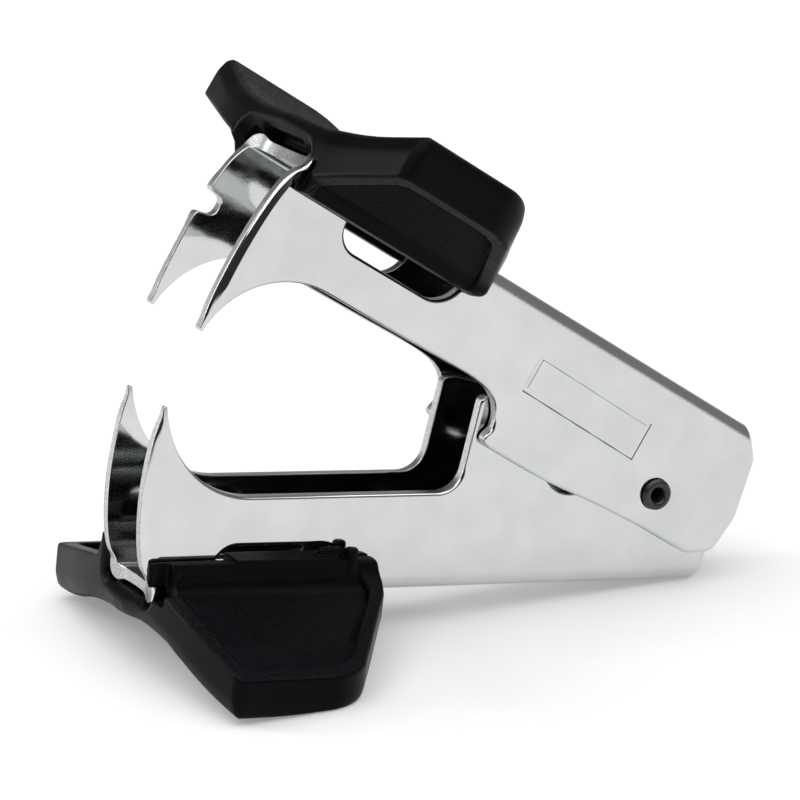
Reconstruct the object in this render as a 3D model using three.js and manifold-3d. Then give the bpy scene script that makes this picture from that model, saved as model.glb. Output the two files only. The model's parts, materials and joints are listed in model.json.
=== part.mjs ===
// A claw staple remover, in millimetres, +Z up, standing on its lower grip with the jaws open.
//
// Two pressed steel jaws, each a U-shaped channel with a pair of claws, turn on one hollow rivet.
// The inner jaw is the lower one and nests between the side plates of the outer, upper jaw.
// A wire torsion spring on the rivet holds the jaws open, and a plastic finger grip sits on each.
//
// Each jaw is drawn in its own jaw frame: the rivet's axis is the Y axis, the claws point to -X
// and up, and the web (the flat floor of the channel) lies below at z = -webDepth. The outer jaw is
// the same drawing turned upside down. The whole is then set so that it stands on z = 0.
import * as THREE from 'three';
import * as BufferGeometryUtils from 'three/addons/utils/BufferGeometryUtils.js';
import Module from 'manifold-3d';

// ---------------------------------------------------------------- driving dimensions

const steel = 1.15;            // thickness of the jaw plate
const gap = 0.25;              // clearance between pieces that lie against each other
const outerHalfWidth = 5.7;    // outer jaw, centre to outer face: fits inside a 12.7 mm staple crown
const innerHalfWidth = outerHalfWidth - steel - gap;
const bendRadius = 1.5;        // outside radius of the bends between web and side plates
const openAngle = 26.8;        // degrees between the two webs with the jaws open

const innerWebDepth = 8.95;    // rivet axis to the outer face of the web
const outerWebDepth = 9.85;

const clawTipAlong = -49.6;
const clawCurveRadius = 9.1;   // the throat side of a claw
const throatRear = -19.9;      // where the throat's rear edge starts
const throatFillet = 2.4;

const windowLeft = -43.2;      // window in each side plate, which holds the grip's lugs
const windowRight = -29.4;
const windowTop = -4.2;
const windowCorner = 2.2;

const rivetShaftRadius = 1.1;
const rivetHoleRadius = 1.2;   // the holes in the plates
const rivetBoreRadius = 0.68;
const rivetRimRadius = 1.45;
const rivetRimHeight = 0.5;
const rivetRimGap = 0.15;

const wireRadius = 0.42;
const coilRadius = 2.25;
const coilPitch = 1.3;
const coilTurns = 3;
const springLegReach = 14;     // how far each leg runs forward along its web

const gripHalfSpan = 19.95;    // centre to the end of a wing
const gripRimSlope = 0.31;     // slope of a wing's rim, down per mm outward
const gripRimDrop = 11.45;     // the rim at the wing's end, below the rivet axis
const gripBaseSlope = 0.30;    // slope of a wing's finger face
const gripRim = 1.5;           // thickness of the wall round a wing's tray
const gripTrayDepth = 2.3;
const gripWall = 1.4;          // wall along the side plate
const saddleThickness = 2.4;   // plastic over the web
const postLeft = -34.3;        // the lower grip's stub posts, at the rear end of the windows
const postRight = -31.6;
const postTop = -3.75;
const pegRadius = 0.7;         // round peg against each post

const feet = { x: -37.6, depth: 14.45 };  // where the lower wings touch the table
const webHeel = 6.2;           // rear end of the web, which also touches the table

// ---------------------------------------------------------------- the two jaws' own numbers

const innerJaw = {
  halfWidth: innerHalfWidth, webDepth: innerWebDepth, tipHeight: 8.3, throatLine: -0.3,
  gripWallDrop: 5.2, gripTipDrop: 14.75,
};
const outerJaw = {
  halfWidth: outerHalfWidth, webDepth: outerWebDepth, tipHeight: 7.8, throatLine: -0.6,
  gripWallDrop: 6.8, gripTipDrop: 15.2,
};

const restTilt = Math.atan2(feet.depth - innerWebDepth, webHeel - feet.x);
const pivotHeight = webHeel * Math.sin(restTilt) + innerWebDepth * Math.cos(restTilt);
const pivotAlong = 20.0;       // puts the origin under the middle of the overall length

// ---------------------------------------------------------------- solids

const manifold = await Module();
manifold.setup();

function toSolid(geometry) {
  const bare = geometry.clone();
  bare.deleteAttribute('normal');
  bare.deleteAttribute('uv');
  const merged = BufferGeometryUtils.mergeVertices(bare, 1e-4);
  return new manifold.Manifold(new manifold.Mesh({
    numProp: 3,
    vertProperties: Float32Array.from(merged.attributes.position.array),
    triVerts: Uint32Array.from(merged.index.array),
  }));
}

function toGeometry(solid) {
  const mesh = solid.getMesh();
  const geometry = new THREE.BufferGeometry();
  geometry.setAttribute('position', new THREE.BufferAttribute(mesh.vertProperties, 3));
  geometry.setIndex(new THREE.BufferAttribute(mesh.triVerts, 1));
  geometry.computeVertexNormals();
  return geometry;
}

const axisX = new THREE.Vector3(1, 0, 0);
const axisY = new THREE.Vector3(0, 1, 0);
const axisZ = new THREE.Vector3(0, 0, 1);

// A shape drawn in the plane of u and v, extruded from `from` to `to` along u x v.
function prism(shape, u, v, from, to, curveSegments = 10) {
  const depth = to - from;
  const geometry = new THREE.ExtrudeGeometry(shape, { depth, bevelEnabled: false, curveSegments });
  geometry.translate(0, 0, from);
  const normal = new THREE.Vector3().crossVectors(u, v);
  geometry.applyMatrix4(new THREE.Matrix4().makeBasis(u, v, normal));
  return toSolid(geometry);
}

// Side view (x, z), reaching halfDepth to each side of the middle plane.
function sidePrism(shape, halfDepth, curveSegments) {
  return prism(shape, axisX, axisZ, -halfDepth, halfDepth, curveSegments);
}

// Front view (y, z), from x0 to x1.
function frontPrism(shape, x0, x1, curveSegments) {
  return prism(shape, axisY, axisZ, x0, x1, curveSegments);
}

// Plan view (x, y), from z0 to z1.
function planPrism(shape, z0, z1, curveSegments) {
  return prism(shape, axisX, axisY, z0, z1, curveSegments);
}

// A round bar along Y through (x, z).
function crossBar(radius, x, z, halfDepth, segments = 32) {
  const geometry = new THREE.CylinderGeometry(radius, radius, 2 * halfDepth, segments);
  geometry.translate(x, 0, z);
  return toSolid(geometry);
}

function block(x0, x1, y0, y1, z0, z1) {
  const geometry = new THREE.BoxGeometry(x1 - x0, y1 - y0, z1 - z0);
  geometry.translate((x0 + x1) / 2, (y0 + y1) / 2, (z0 + z1) / 2);
  return toSolid(geometry);
}

// The points along a line of corners, some of them rounded: each corner is [x, y, radius], with
// radius 0 or left out for a sharp one. A closed line also rounds its first and last corners.
const arcStep = THREE.MathUtils.degToRad(13);

function roundedPoints(corners, closed = true) {
  const points = [];
  corners.forEach(([x, y, radius = 0], i) => {
    const corner = new THREE.Vector2(x, y);
    const isEnd = !closed && (i === 0 || i === corners.length - 1);
    if (radius === 0 || isEnd) {
      points.push(corner);
      return;
    }
    const before = new THREE.Vector2(...corners.at(i - 1).slice(0, 2)).sub(corner).normalize();
    const after = new THREE.Vector2(...corners[(i + 1) % corners.length].slice(0, 2))
      .sub(corner).normalize();
    const halfAngle = Math.acos(before.dot(after)) / 2;
    const middle = before.clone().add(after).normalize();
    const centre = corner.clone().addScaledVector(middle, radius / Math.sin(halfAngle));
    const start = corner.clone().addScaledVector(before, radius / Math.tan(halfAngle)).sub(centre);
    const turn = (Math.PI - 2 * halfAngle) * Math.sign(-before.cross(after));
    const steps = Math.max(1, Math.ceil(Math.abs(turn) / arcStep));
    for (let k = 0; k <= steps; k += 1) {
      points.push(start.clone().rotateAround(new THREE.Vector2(), turn * k / steps).add(centre));
    }
  });
  return points;
}

function roundedOutline(corners) {
  return new THREE.Shape(roundedPoints(corners));
}

// ---------------------------------------------------------------- jaws

// Front view of the channel: two side plates joined by the web, with rounded bends.
function channelSection(halfWidth, webDepth, plateTop) {
  const inside = bendRadius - steel;
  return roundedOutline([
    [-halfWidth, plateTop],
    [-halfWidth, -webDepth, bendRadius],
    [halfWidth, -webDepth, bendRadius],
    [halfWidth, plateTop],
    [halfWidth - steel, plateTop],
    [halfWidth - steel, -webDepth + steel, inside],
    [-halfWidth + steel, -webDepth + steel, inside],
    [-halfWidth + steel, plateTop],
  ]);
}

// The rest of a side plate behind the throat, from the throat's rear edge to the web's rear end.
// The inner jaw's plate stands up as an ear and ends in a stop corner that meets the outer web.
function plateRear(jaw) {
  if (jaw === innerJaw) {
    return [[-18.2, 8.75, 1.0], [-12.5, 7.9, 3.0], [-3.0, 6.6, 3.0], [7.4, 5.1, 1.2], [8.3, -3.5, 2.0],
      [webHeel + 0.3, -jaw.webDepth, 0.8]];
  }
  return [[-18.55, 4.0, 0.5], [1.0, 3.25], [5.9, 3.3, 1.5], [8.75, 2.3, 1.3], [9.35, -1.9, 3.0],
    [7.9, -7.9, 0.8], [6.4, -jaw.webDepth, 0.6]];
}

// Side view of a jaw. The front edge and the throat side of the claw are arcs that meet in the tip.
function jawOutline(jaw) {
  const { webDepth, tipHeight, throatLine } = jaw;
  const rear = plateRear(jaw);
  const shape = new THREE.Shape();
  const frontFoot = { x: -50.1, z: -5.6 };
  shape.moveTo(-48.1, -webDepth);
  shape.lineTo(-48.6, -webDepth - 0.3);
  shape.lineTo(-49.1, -webDepth - 0.3);
  shape.quadraticCurveTo(-49.9, -webDepth + 1.6, frontFoot.x, frontFoot.z);
  shape.quadraticCurveTo(-51.1, 1.4, clawTipAlong, tipHeight);
  const centre = { x: clawTipAlong + clawCurveRadius, z: throatLine + clawCurveRadius };
  const tipAngle = Math.atan2(tipHeight - centre.z, clawTipAlong - centre.x);
  shape.absarc(centre.x, centre.z, clawCurveRadius, tipAngle, 1.5 * Math.PI, false);
  const corners = roundedPoints([
    [centre.x, throatLine],
    [throatRear - 0.15, throatLine, throatFillet],
    ...rear,
    [centre.x, -webDepth],
  ], false);
  corners.slice(1).forEach((p) => shape.lineTo(p.x, p.y));
  return shape;
}

function jawSolid(jaw) {
  const { halfWidth, webDepth } = jaw;
  const outline = jawOutline(jaw);
  let section = frontPrism(channelSection(halfWidth, webDepth, 12), -53, 12);
  // The lip: at the front end both bends swell outward into a small horn.
  const hornAt = halfWidth - bendRadius - 0.35;
  for (const side of [-1, 1]) {
    const horn = new THREE.CylinderGeometry(0.75, 0.75, 3, 16);
    horn.rotateZ(Math.PI / 2);
    horn.translate(-48.9, side * hornAt, -webDepth + 0.4);
    section = section.add(toSolid(horn));
  }
  let solid = section.intersect(sidePrism(outline, halfWidth + 2, 14));
  const windowShape = roundedOutline([
    [windowLeft, -webDepth + 1.75, 0.6],
    [windowRight, -webDepth + 1.75, 0.6],
    [windowRight, windowTop, windowCorner],
    [windowLeft, windowTop, windowCorner],
  ]);
  solid = solid.subtract(sidePrism(windowShape, halfWidth + 2, 6));
  solid = solid.subtract(crossBar(rivetHoleRadius, 0, 0, halfWidth + 2));
  if (jaw === innerJaw) {
    solid = solid.subtract(crossBar(2.6, -8.4, 2.35, halfWidth + 2, 24));
  } else {
    const notchShape = roundedOutline([
      [-52, -3.15], [-48.45, -3.15, 0.5], [-48.45, -1.4, 0.8], [-52, -1.4],
    ]);
    const slot = prism(notchShape, axisX, axisZ, 0, halfWidth + 2, 6);
    solid = solid.subtract(slot);
  }
  return solid;
}

// ---------------------------------------------------------------- rivet

// A tubular rivet: the bore is open from end to end and both ends are rolled over into a rim.
function rivetGeometry() {
  const face = outerHalfWidth + rivetRimGap;
  const end = face + rivetRimHeight;
  const lip = 0.5 * (rivetRimRadius + rivetBoreRadius);
  const half = [
    [rivetShaftRadius, face],
    [rivetRimRadius - 0.08, face],
    [rivetRimRadius, face + 0.18],
    [rivetRimRadius - 0.12, end - 0.1],
    [lip, end],
    [rivetBoreRadius + 0.08, end - 0.12],
    [rivetBoreRadius, end - 0.35],
  ];
  const mirrored = half.map(([r, y]) => [r, -y]).reverse();
  const profile = [...mirrored, ...half, mirrored[0]];
  return new THREE.LatheGeometry(profile.map(([r, y]) => new THREE.Vector2(r, y)), 32);
}

// ---------------------------------------------------------------- spring

// Centre line of the torsion spring: a leg along the inner jaw's web, the coil round the rivet,
// and a leg along the outer jaw's web. Each leg is a tangent of the coil.
function legEnd(webDepth, turn, upward) {
  const rest = webDepth - steel - gap - wireRadius;
  const x = -springLegReach;
  const z = upward ? rest : -rest;
  return new THREE.Vector2(x * Math.cos(turn) + z * Math.sin(turn), -x * Math.sin(turn) + z * Math.cos(turn));
}

function tangentAngle(end, upward) {
  const spread = Math.acos(coilRadius / end.length());
  const bearing = Math.atan2(end.y, end.x);
  return upward ? bearing - spread : bearing + spread;
}

class SpringLine extends THREE.Curve {
  constructor() {
    super();
    this.lowEnd = legEnd(innerWebDepth, 0, false);
    this.highEnd = legEnd(outerWebDepth, THREE.MathUtils.degToRad(openAngle), true);
    this.lowAngle = tangentAngle(this.lowEnd, false);
    let highAngle = tangentAngle(this.highEnd, true);
    while (highAngle < this.lowAngle) highAngle += 2 * Math.PI;
    this.sweep = highAngle - this.lowAngle + 2 * Math.PI * coilTurns;
    const coilLength = this.sweep * coilRadius;
    const legs = [this.lowEnd, this.highEnd].map((e) => Math.sqrt(e.lengthSq() - coilRadius ** 2));
    this.total = legs[0] + coilLength + legs[1];
    this.coilStart = legs[0] / this.total;
    this.coilStop = 1 - legs[1] / this.total;
    this.halfLength = coilPitch * this.sweep / (4 * Math.PI);
  }

  onCoil(fraction) {
    const angle = this.lowAngle + this.sweep * fraction;
    const y = this.halfLength * (2 * fraction - 1);
    return new THREE.Vector3(coilRadius * Math.cos(angle), y, coilRadius * Math.sin(angle));
  }

  getPoint(t) {
    if (t < this.coilStart) {
      const start = new THREE.Vector3(this.lowEnd.x, -this.halfLength, this.lowEnd.y);
      return start.lerp(this.onCoil(0), t / this.coilStart);
    }
    if (t > this.coilStop) {
      const stop = new THREE.Vector3(this.highEnd.x, this.halfLength, this.highEnd.y);
      return this.onCoil(1).lerp(stop, (t - this.coilStop) / (1 - this.coilStop));
    }
    return this.onCoil((t - this.coilStart) / (this.coilStop - this.coilStart));
  }
}

function springGeometry() {
  const section = new THREE.Shape();
  section.absarc(0, 0, wireRadius, 0, 2 * Math.PI, false);
  return new THREE.ExtrudeGeometry(section, { steps: 110, extrudePath: new SpringLine(), curveSegments: 8 });
}

// ---------------------------------------------------------------- grips

// Plan of one wing and its root, on the -Y side; inset moves the rim's inner edge.
function wingPlan(inset, rootY) {
  return roundedOutline([
    [-50.0 + inset, rootY],
    [-49.7 + inset * 0.8, -9, 3],
    [-47.3 + inset, -gripHalfSpan + inset, 2.2],
    [-36.7 - inset, -gripHalfSpan + inset, 2.0],
    [-28.0 - inset, -7.2, 1.5],
    [-27.0 - inset, rootY],
  ].reverse());
}

function gripSolid(jaw) {
  const { halfWidth, webDepth, gripWallDrop, gripTipDrop } = jaw;
  const innerFace = halfWidth + gap;
  const rimAt = (y) => -gripRimDrop + gripRimSlope * (gripHalfSpan - y);
  const baseAt = (y) => -gripTipDrop + gripBaseSlope * (gripHalfSpan - y);
  const baseMiddle = -webDepth - gap - saddleThickness;
  const wallTop = -gripWallDrop;
  const past = gripHalfSpan + 1;

  // Front view: a bow tie, thick over the web and thinner at both wing tips.
  const bowTie = roundedOutline([
    [-past, rimAt(past)],
    [-past, baseAt(past)],
    [-8.5, baseAt(8.5), 6],
    [-3.0, baseMiddle, 3],
    [3.0, baseMiddle, 3],
    [8.5, baseAt(8.5), 6],
    [past, baseAt(past)],
    [past, rimAt(past)],
    [innerFace + gripWall, rimAt(innerFace + gripWall)],
    [innerFace + gripWall - 0.2, wallTop],
    [innerFace, wallTop],
    [-innerFace, wallTop],
    [-innerFace - gripWall + 0.2, wallTop],
    [-innerFace - gripWall, rimAt(innerFace + gripWall)],
  ]);
  const near = planPrism(wingPlan(0, 0.5), -20, 0);
  let solid = frontPrism(bowTie, -52, -25).intersect(near.add(near.mirror([0, 1, 0])));

  // The trays: each wing is hollow on the side that faces its jaw.
  const trayRoot = -innerFace - gripWall;
  const floor = new THREE.Shape();
  floor.moveTo(-gripHalfSpan, rimAt(gripHalfSpan) - gripTrayDepth);
  floor.lineTo(-11.5, rimAt(11.5) - gripTrayDepth);
  floor.lineTo(trayRoot, rimAt(innerFace + gripWall) - 0.5);
  floor.lineTo(trayRoot, 1);
  floor.lineTo(-gripHalfSpan, 1);
  const tray = planPrism(wingPlan(gripRim + 0.2, -5), -20, 2).intersect(frontPrism(floor, -52, -25));
  solid = solid.subtract(tray).subtract(tray.mirror([0, 1, 0]));

  // Clearance for the channel, and the scallop behind the jaw's horns.
  const channel = roundedOutline([
    [-innerFace, 5], [-innerFace, -webDepth - gap, bendRadius + gap],
    [innerFace, -webDepth - gap, bendRadius + gap], [innerFace, 5],
  ]);
  solid = solid.subtract(frontPrism(channel, -53, -24));
  const mouth = roundedOutline([
    [-53, innerFace], [-53, -innerFace], [-47.6, -innerFace, 1.2], [-47.6, innerFace, 1.2],
  ]);
  solid = solid.subtract(planPrism(mouth, -webDepth - 1.1, 0));
  const scallop = new THREE.CylinderGeometry(3.6, 3.6, 8, 24);
  scallop.rotateX(Math.PI / 2);
  scallop.translate(-51.9, 0, -webDepth - 3.2);
  solid = solid.subtract(toSolid(scallop));

  // Lugs that reach into the lower part of the windows and hold the grip on.
  for (const side of [-1, 1]) {
    const inner = halfWidth - steel - 0.2;
    const outer = innerFace + gripWall;
    const [y0, y1] = side > 0 ? [inner, outer] : [-outer, -inner];
    solid = solid.add(block(-40.5, -32.0, y0, y1, -webDepth + 2.1, -webDepth + 2.9));
  }
  return solid;
}

// The lower grip's stub posts, one beside each side plate, each with a round peg behind it.
function stubPosts() {
  const innerFace = innerHalfWidth + gap;
  const foot = -innerWebDepth + 1.5;
  const post = block(postLeft, postRight, -innerFace - 1.2, -innerFace, foot, postTop);
  const peg = new THREE.CylinderGeometry(pegRadius, pegRadius, postTop - 0.85 - foot, 16);
  peg.rotateX(Math.PI / 2);
  peg.translate(postRight + 0.8, -innerFace - 1.45, (postTop - 0.85 + foot) / 2);
  const near = post.add(toSolid(peg));
  return near.add(near.mirror([0, 1, 0]));
}

// Flat feet where the lower wings meet the table, cut in the jaw frame by the table's plane.
function cutFeet(solid) {
  const table = new THREE.BoxGeometry(120, 60, 20);
  table.translate(0, 0, -10 - pivotHeight);
  table.rotateY(-restTilt);
  return solid.subtract(toSolid(table));
}

// ---------------------------------------------------------------- assembly

const nickel = { color: 0xc9cccd, roughness: 0.22, metalness: 1.0 };
const blackened = { color: 0x1a1a1c, roughness: 0.35, metalness: 0.8 };
const springSteel = { color: 0x8d9092, roughness: 0.3, metalness: 1.0 };
const blackPlastic = { color: 0x141416, roughness: 0.5, metalness: 0.0 };

function addPiece(parent, name, geometry, look) {
  const mesh = new THREE.Mesh(geometry, new THREE.MeshStandardMaterial(look));
  mesh.name = name;
  parent.add(mesh);
}

const group = new THREE.Group();

const lower = new THREE.Group();
lower.position.set(pivotAlong, 0, pivotHeight);
lower.rotation.y = restTilt;
group.add(lower);

const upper = new THREE.Group();
upper.rotation.y = THREE.MathUtils.degToRad(openAngle);
lower.add(upper);

const flipped = new THREE.Group();
flipped.rotation.x = Math.PI;
upper.add(flipped);

addPiece(lower, 'inner_jaw', toGeometry(jawSolid(innerJaw)), nickel);
addPiece(lower, 'lower_grip', toGeometry(cutFeet(gripSolid(innerJaw).add(stubPosts()))), blackPlastic);
addPiece(lower, 'pivot_rivet', rivetGeometry(), blackened);
addPiece(lower, 'torsion_spring', springGeometry(), springSteel);
addPiece(flipped, 'outer_jaw', toGeometry(jawSolid(outerJaw)), nickel);
addPiece(flipped, 'upper_grip', toGeometry(gripSolid(outerJaw)), blackPlastic);

export default group;
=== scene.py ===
# Claw staple remover: the look of the part, in metres, in the CAD's row frame.
#
# Each jaw is drawn as the flat sheet it is pressed from and folded into a channel here, and each
# grip is a moulded solid given as a distance function. All shapes are drawn in millimetres in a
# jaw frame: the rivet's axis is Y, the claws point to -X and up, and the web lies at z = -web.
import json
import math

import bpy
import numpy as np
from mathutils import Matrix, Vector
from mathutils.geometry import delaunay_2d_cdt


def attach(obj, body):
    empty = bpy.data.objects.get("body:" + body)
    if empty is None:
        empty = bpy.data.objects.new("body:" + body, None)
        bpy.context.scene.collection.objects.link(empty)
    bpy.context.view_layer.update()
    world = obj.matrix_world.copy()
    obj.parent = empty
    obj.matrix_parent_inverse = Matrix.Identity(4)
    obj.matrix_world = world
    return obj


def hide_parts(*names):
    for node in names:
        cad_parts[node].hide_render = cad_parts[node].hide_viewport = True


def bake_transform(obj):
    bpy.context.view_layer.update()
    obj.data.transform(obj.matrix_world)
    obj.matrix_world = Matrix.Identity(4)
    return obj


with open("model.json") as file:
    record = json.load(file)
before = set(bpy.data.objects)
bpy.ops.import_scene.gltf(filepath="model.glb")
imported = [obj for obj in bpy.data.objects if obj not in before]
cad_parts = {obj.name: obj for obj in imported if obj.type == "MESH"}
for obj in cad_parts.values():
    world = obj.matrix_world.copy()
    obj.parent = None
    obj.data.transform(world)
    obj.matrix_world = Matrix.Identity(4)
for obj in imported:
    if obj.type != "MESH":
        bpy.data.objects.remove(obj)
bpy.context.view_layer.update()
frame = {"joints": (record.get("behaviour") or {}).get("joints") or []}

MM = 0.001

# ---------------------------------------------------------------- dimensions, in millimetres

STEEL = 1.15
GAP = 0.25
BEND_RADIUS = 1.5
BEND_MIDDLE = BEND_RADIUS - STEEL / 2
BEND_ARC = BEND_MIDDLE * math.pi / 2
OPEN_ANGLE = math.radians(26.8)
REST_TILT = math.atan2(14.45 - 8.95, 6.2 + 37.6)

# The coined edge along the claws' fronts: share of its width, depth and tilt of the surface in degrees.
BEVEL = ((1, 0, 0), (0.93, 0.02, 27), (0.35, 0.2, 29), (0.235, 0.25, 45), (0.12, 0.31, 62),
         (0.035, 0.38, 78), (0, 0.45, 90))

PIVOT = np.array(frame["joints"][0]["pos_m"]) / MM


class Jaw:
    """The numbers that differ between the two jaws."""

    def __init__(self, half, web, flipped, tip, throat, wall_top, tip_drop, scoop, back, front_end,
                 far_rim, far_wall, lip_gap, blunt):
        self.half = half            # centre to the outer face of a side plate
        self.web = web              # rivet axis to the outer face of the web
        self.flipped = flipped
        self.tip = tip              # height of the claws' tips
        self.throat = throat        # height of the straight throat edge
        self.wall_top = wall_top    # top of the grip's wall along the plate
        self.tip_drop = tip_drop    # finger face at a wing's end, below the rivet axis
        self.scoop = scoop          # how far the finger face bellies out near the wing's end
        self.back = back            # how much further the grip reaches to the rear
        self.front_end = front_end  # front of the wings at their ends
        self.far_rim = far_rim      # rim of the far wing at its end
        self.far_wall = far_wall    # thickness of the wall along the far plate
        self.lip_gap = lip_gap      # gap between the jaw's lip and the grip's saddle
        self.blunt = blunt          # thickness left at the claws' tips, as a share
        self.flat = half - BEND_RADIUS
        self.plate_start = self.flat + BEND_ARC
        self.tangent = -web + BEND_RADIUS
        self.angle = REST_TILT + (OPEN_ANGLE if flipped else 0.0)
        self.body = "upper_jaw" if flipped else "lower_jaw"

    def place(self, p):
        """Jaw frame to row frame, in millimetres."""
        p = np.asarray(p, float)
        x, y, z = p[:, 0], p[:, 1], p[:, 2]
        if self.flipped:
            y, z = -y, -z
        c, s = math.cos(self.angle), math.sin(self.angle)
        return np.stack([x * c + z * s, y, z * c - x * s], -1) + PIVOT

    def turn(self, n):
        return self.place(n) - PIVOT


INNER = Jaw(4.3, 8.95, False, 8.3, 0.15, -5.45, -15.3, 1.3, 0.35, -48.0, -10.55, 1.4, 0.1, 0.35)
OUTER = Jaw(5.7, 9.85, True, 7.8, -0.45, -7.25, -15.78, 0.0, 0.9, -47.85, -11.45, 0.5, 0.8, 0.85)

# ---------------------------------------------------------------- meshes


def make_object(name, points, faces, normals=None, masks=None):
    """A mesh object from points in row-frame millimetres, with optional vertex normals and masks."""
    mesh = bpy.data.meshes.new(name)
    mesh.from_pydata((np.asarray(points) * MM).tolist(), [], [list(map(int, f)) for f in faces])
    mesh.validate()
    mesh.polygons.foreach_set("use_smooth", [True] * len(mesh.polygons))
    for mask, values in (masks or {}).items():
        layer = mesh.attributes.new(mask, "FLOAT", "POINT")
        layer.data.foreach_set("value", np.asarray(values, np.float32))
    mesh.update()
    if normals is not None:
        mesh.normals_split_custom_set_from_vertices(np.asarray(normals).tolist())
    obj = bpy.data.objects.new(name, mesh)
    bpy.context.scene.collection.objects.link(obj)
    return obj


def facing_out(points, faces):
    """The faces, turned over if together they enclose a negative volume."""
    volume = sum(float(np.dot(points[f[0]], np.cross(points[f[i]], points[f[i + 1]])))
                 for f in faces for i in range(1, len(f) - 1))
    return faces if volume > 0 else [tuple(reversed(f)) for f in faces]


def unit(v):
    return v / np.maximum(np.linalg.norm(v, axis=-1, keepdims=True), 1e-12)


# ---------------------------------------------------------------- outlines


def arc_corner(before, corner, after, radius, step=math.radians(9)):
    before, corner, after = (np.array(p[:2], float) for p in (before, corner, after))
    a, b = unit(before - corner), unit(after - corner)
    half = math.acos(np.clip(a @ b, -1, 1)) / 2
    centre = corner + unit(a + b) * radius / math.sin(half)
    start = corner + a * radius / math.tan(half) - centre
    cross = a[0] * b[1] - a[1] * b[0]
    turn = -(math.pi - 2 * half) * math.copysign(1, cross)
    n = max(2, int(math.ceil(abs(turn) / step)))
    out = []
    for k in range(n + 1):
        t = turn * k / n
        out.append(centre + [start[0] * math.cos(t) - start[1] * math.sin(t),
                             start[0] * math.sin(t) + start[1] * math.cos(t)])
    return out


def rounded(corners, closed=False):
    """Points along a line of corners [x, y, radius], rounded where a radius is given."""
    out = []
    for i, c in enumerate(corners):
        end = not closed and i in (0, len(corners) - 1)
        if end or len(c) < 3 or c[2] == 0:
            out.append(np.array(c[:2], float))
        else:
            out += arc_corner(corners[i - 1], c, corners[(i + 1) % len(corners)], c[2])
    return out


def spline(points, n=10):
    """A centripetal Catmull-Rom curve through the points."""
    p = np.array(points, float)
    p = np.vstack([2 * p[0] - p[1], p, 2 * p[-1] - p[-2]])
    out = []
    for i in range(1, len(p) - 2):
        t = [0.0]
        for k in range(3):
            t.append(t[-1] + np.linalg.norm(p[i + k] - p[i + k - 1]) ** 0.5)
        for u in np.linspace(t[1], t[2], n, endpoint=False):
            a = [(t[k + 1] - u) / (t[k + 1] - t[k]) * p[i - 1 + k]
                 + (u - t[k]) / (t[k + 1] - t[k]) * p[i + k] for k in range(3)]
            b = [(t[k + 2] - u) / (t[k + 2] - t[k]) * a[k]
                 + (u - t[k]) / (t[k + 2] - t[k]) * a[k + 1] for k in range(2)]
            out.append((t[2] - u) / (t[2] - t[1]) * b[0] + (u - t[1]) / (t[2] - t[1]) * b[1])
    out.append(p[-2])
    return out


def resample(loop, step_at):
    """A closed loop with points added or merged so that its steps follow step_at(x, s)."""
    p = np.array(loop, float)
    p = p[np.linalg.norm(p - np.roll(p, 1, 0), axis=1) > 1e-5]
    out = []
    for a, b in zip(p, np.roll(p, -1, 0)):
        n = max(1, int(math.ceil(np.linalg.norm(b - a) / step_at((a + b) / 2))))
        out += [a + (b - a) * k / n for k in range(n)]
    keep = [out[0]]
    for q in out[1:]:
        if np.linalg.norm(q - keep[-1]) > 0.045:
            keep.append(q)
    return np.array(keep)


def circle(x, s, r, n=40):
    turns = [2 * math.pi * k / n for k in range(n)]
    return [(x + r * math.cos(t), s + r * math.sin(t)) for t in turns]


def inside(points, loops):
    """Even-odd test of points against all the loops."""
    x, y = points[:, 0], points[:, 1]
    odd = np.zeros(len(points), bool)
    for loop in loops:
        a, b = loop, np.roll(loop, -1, 0)
        for (x0, y0), (x1, y1) in zip(a, b):
            if y0 == y1:
                continue
            crosses = (y0 > y) != (y1 > y)
            odd ^= crosses & (x < x0 + (y - y0) * (x1 - x0) / (y1 - y0))
    return odd


def distance_to(points, loops):
    best = np.full(len(points), 1e9)
    for loop in loops:
        for a, b in zip(loop, np.roll(loop, -1, 0)):
            d = b - a
            t = np.clip(((points - a) @ d) / max(d @ d, 1e-12), 0, 1)
            best = np.minimum(best, np.linalg.norm(points - a - t[:, None] * d, axis=1))
    return best


# ---------------------------------------------------------------- the folded jaws

ROLLOVER = 0.38        # die rollover along the outside edges, its width
ROLLOVER_DEPTH = 0.3
FRONT_ROLLOVER = 0.78  # wider along the claws' front edges
BURR = 0.09            # smaller break on the inside edges
HORN_RISE = 0.9        # the bend's ends swell outward at the lip
FAR_HORN = 0.6         # share of that on the far side
HORN_LENGTH, HORN_WIDTH = 1.05, 0.85
FRONT_ZONE = -46.5     # the front edges lie ahead of this x
CLAW_ZONE = -44        # and the claws, which thin out over TIP_TAPER, ahead of this one
TIP_TAPER = 3.2
PANEL_X, PANEL_Z, PANEL_HALF = -11.2, -3.62, (7.1, 1.95)
PANEL_TILT = 0.022     # slope of the panel against the jaw's length
PANEL_STEP = 0.08      # spacing of the points over the panel
BEND_STEP = 0.13       # spacing of an outline's points, across the bends and elsewhere
PLATE_STEP = 0.3


def signed_area(loop):
    x, y = loop[:, 0], loop[:, 1]
    return 0.5 * float(np.sum(x * np.roll(y, -1) - np.roll(x, -1) * y))


TIP_X, TIP_RADIUS = -49.6, 0.2
CLAW_RADIUS = 8.9


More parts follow.
